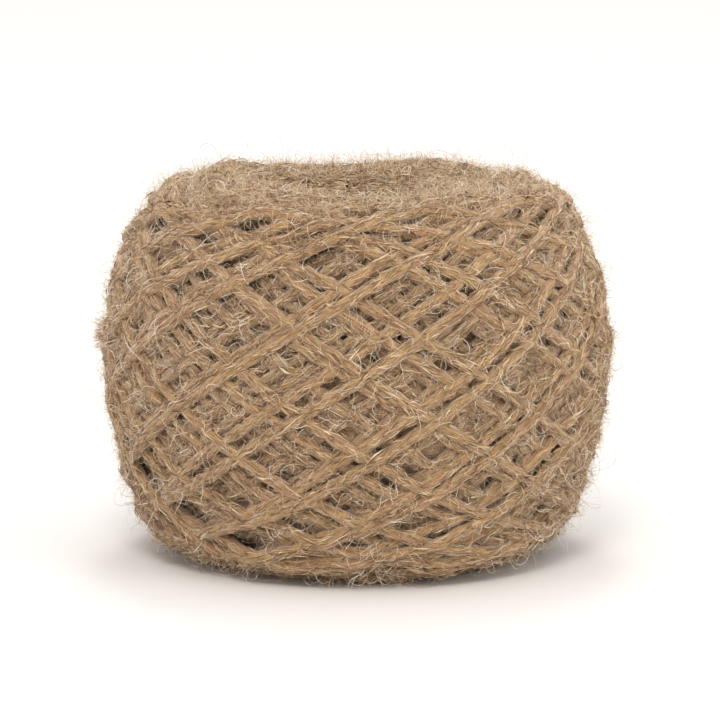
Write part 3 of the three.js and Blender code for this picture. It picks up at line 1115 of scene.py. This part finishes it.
# name, places, count, steps, then from and to: length in mm, height over the outline in mm,
# bend in radians a mm, width in mm, tone
CRIMPED = [
    # the deep dark felt is real felted fibre, but its dark tones, put only in the gaps, are painted shade
    ("dark_felt", "deep", 7000, 7, (1.5, 3.8), (-2.4, -1.0), (0.7, 2.4), (0.04, 0.07), (0.0, 0.5)),
    ("pale_felt", "deep", 10000, 7, (1.5, 3.8), (-1.9, -0.5), (0.7, 2.4), (0.04, 0.07), (0.6, 1.0)),
    ("curls", "all", 7800, 10, (2.5, 8.0), (-0.6, 0.15), (0.4, 1.5), (0.045, 0.075), (0.7, 1.0)),
    # the top mat's pale tones are partly painted light, for the top that faces the lamps
    ("top_mat", "top", 5000, 6, (1.5, 4.0), (-0.4, 0.6), (0.3, 1.3), (0.04, 0.07), (0.5, 0.97)),
    ("haze", "all", 24000, 5, (0.7, 2.0), (0.2, 1.3), (0.3, 0.9), (0.03, 0.045), (0.5, 1.0)),
    ("halo", "all", 4000, 6, (1.2, 3.5), (0.0, 0.8), (0.4, 1.3), (0.03, 0.055), (0.5, 1.0)),
    ("flyaways", "all", 280, 16, (7.0, 17.0), (0.2, 1.2), (0.1, 0.5), (0.04, 0.07), (0.4, 1.0)),
    ("long_arcs", "left side", 14, 24, (12.0, 22.0), (0.1, 0.7), (0.05, 0.25), (0.06, 0.08), (0.9, 1.0)),
    ("left_tuft", "left tuft", 160, 6, (1.8, 2.8), (2.2, 2.6), (0.05, 0.3), (0.06, 0.09), (0.4, 0.7)),
    ("front_loops", "front foot", 110, 16, (4.0, 10.0), (0.3, 1.6), (0.4, 1.1), (0.04, 0.07), (0.7, 1.0)),
]
NEARLY_STRAIGHT = ("haze",)
for name, places, count, steps, *ranges in CRIMPED:
    length, goal, bend, width, tone = (chance.uniform(low, high, count) for low, high in ranges)
    lines, facing = crimped_fibres(count, steps, length, goal, bend, START_PLACES[places])
    proud = over_outline(lines.reshape(-1, 3))[0].reshape(count, steps).max(axis=1)
    kept = proud < MOST_PROUD
    add_fibres(name, lines[kept], width[kept], facing[kept], tone[kept], name in NEARLY_STRAIGHT)

# %% [markdown]
# ## The white table
# The ball is photographed on a white table that runs on past the picture, so nothing but its shadow shows
# where it stands. A curved backdrop could do that. The camera looks down and its lens is long, so a wide
# plane fills the picture as well. A white world around it lights the ball from all sides and keeps its
# shadow pale.

# %% Floor and world
# mm from the ball to the table's edge
FLOOR_REACH = 6000.0
WORLD_STRENGTH = 0.8


def set_stage():
    floor_material, tree = new_material("white table")
    shader = add_node(tree, "ShaderNodeBsdfPrincipled", {"Base Color": linear("#e8e6e4"), "Roughness": 0.8})
    add_node(tree, "ShaderNodeOutputMaterial", {"Surface": shader})
    corners = FLOOR_REACH * np.array([(-1, -1, 0), (1, -1, 0), (1, 1, 0), (-1, 1, 0)])
    floor = make_mesh("floor", corners, np.array([[0, 1, 2, 3]]), floor_material)
    world = bpy.data.worlds.new("white room")
    bpy.context.scene.world = world
    world.use_nodes = True
    world.node_tree.nodes["Background"].inputs["Color"].default_value = (1, 1, 1, 1)
    world.node_tree.nodes["Background"].inputs["Strength"].default_value = WORLD_STRENGTH


set_stage()

# %% [markdown]
# ## Soft light
# A studio lights yarn softly and from above, so that the gaps between the turns go dark and the fuzz
# glows at the edge. The key light stands in front and a little left, a back light brightens the top and
# the halo, and a wide lamp overhead fills the dish. Two side lamps lift the flanks, a weak pinkish one at
# the left and a stronger, nearly white one at the right. All are wide discs, because a larger lamp makes
# a softer shadow. The Standard view keeps white white, where a filmic one would grey the table.

# %% Lamps
LAMP_AIM = Vector((0, 0, 0.03))
# name, place in m, size in m, power in W, colour
LAMPS = [
    ("key", (-0.1, -0.86, 0.9), 0.35, 5.4, "#fffcf8"),
    ("back light", (0.0, 0.62, 1.02), 0.35, 3.2, "#fffcf8"),
    ("overhead", (0.05, -0.1, 1.1), 1.2, 3.4, "#fffcf8"),
    ("left fill", (-1.0, -0.6, 0.3), 0.6, 1.9, "#ffe2dc"),
    ("right fill", (1.0, -0.6, 0.3), 0.6, 4.2, "#fff8f0"),
]


def add_lamp(name, place, size, watts, colour):
    lamp_data = bpy.data.lights.new(name, "AREA")
    lamp_data.shape = "DISK"
    lamp_data.size = size
    lamp_data.energy = watts
    lamp_data.color = linear(colour)[:3]
    lamp = bpy.data.objects.new(name, lamp_data)
    lamp.location = place
    lamp.rotation_euler = (LAMP_AIM - Vector(place)).to_track_quat("-Z", "Y").to_euler()
    bpy.context.collection.objects.link(lamp)


for lamp_row in LAMPS:
    add_lamp(*lamp_row)
bpy.context.scene.view_settings.view_transform = "Standard"
print(len(LAMPS), "lamps,", round(sum(watts for name, place, size, watts, colour in LAMPS), 1), "W in all")

# %% [markdown]
# ## Handing over
# Nothing on a ball of yarn moves by itself, so every piece rides on the one body, root. The frame's plain
# solid is hidden.

# %% Hand over
for piece in pieces:
    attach(piece, "root")
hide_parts("yarn_ball")
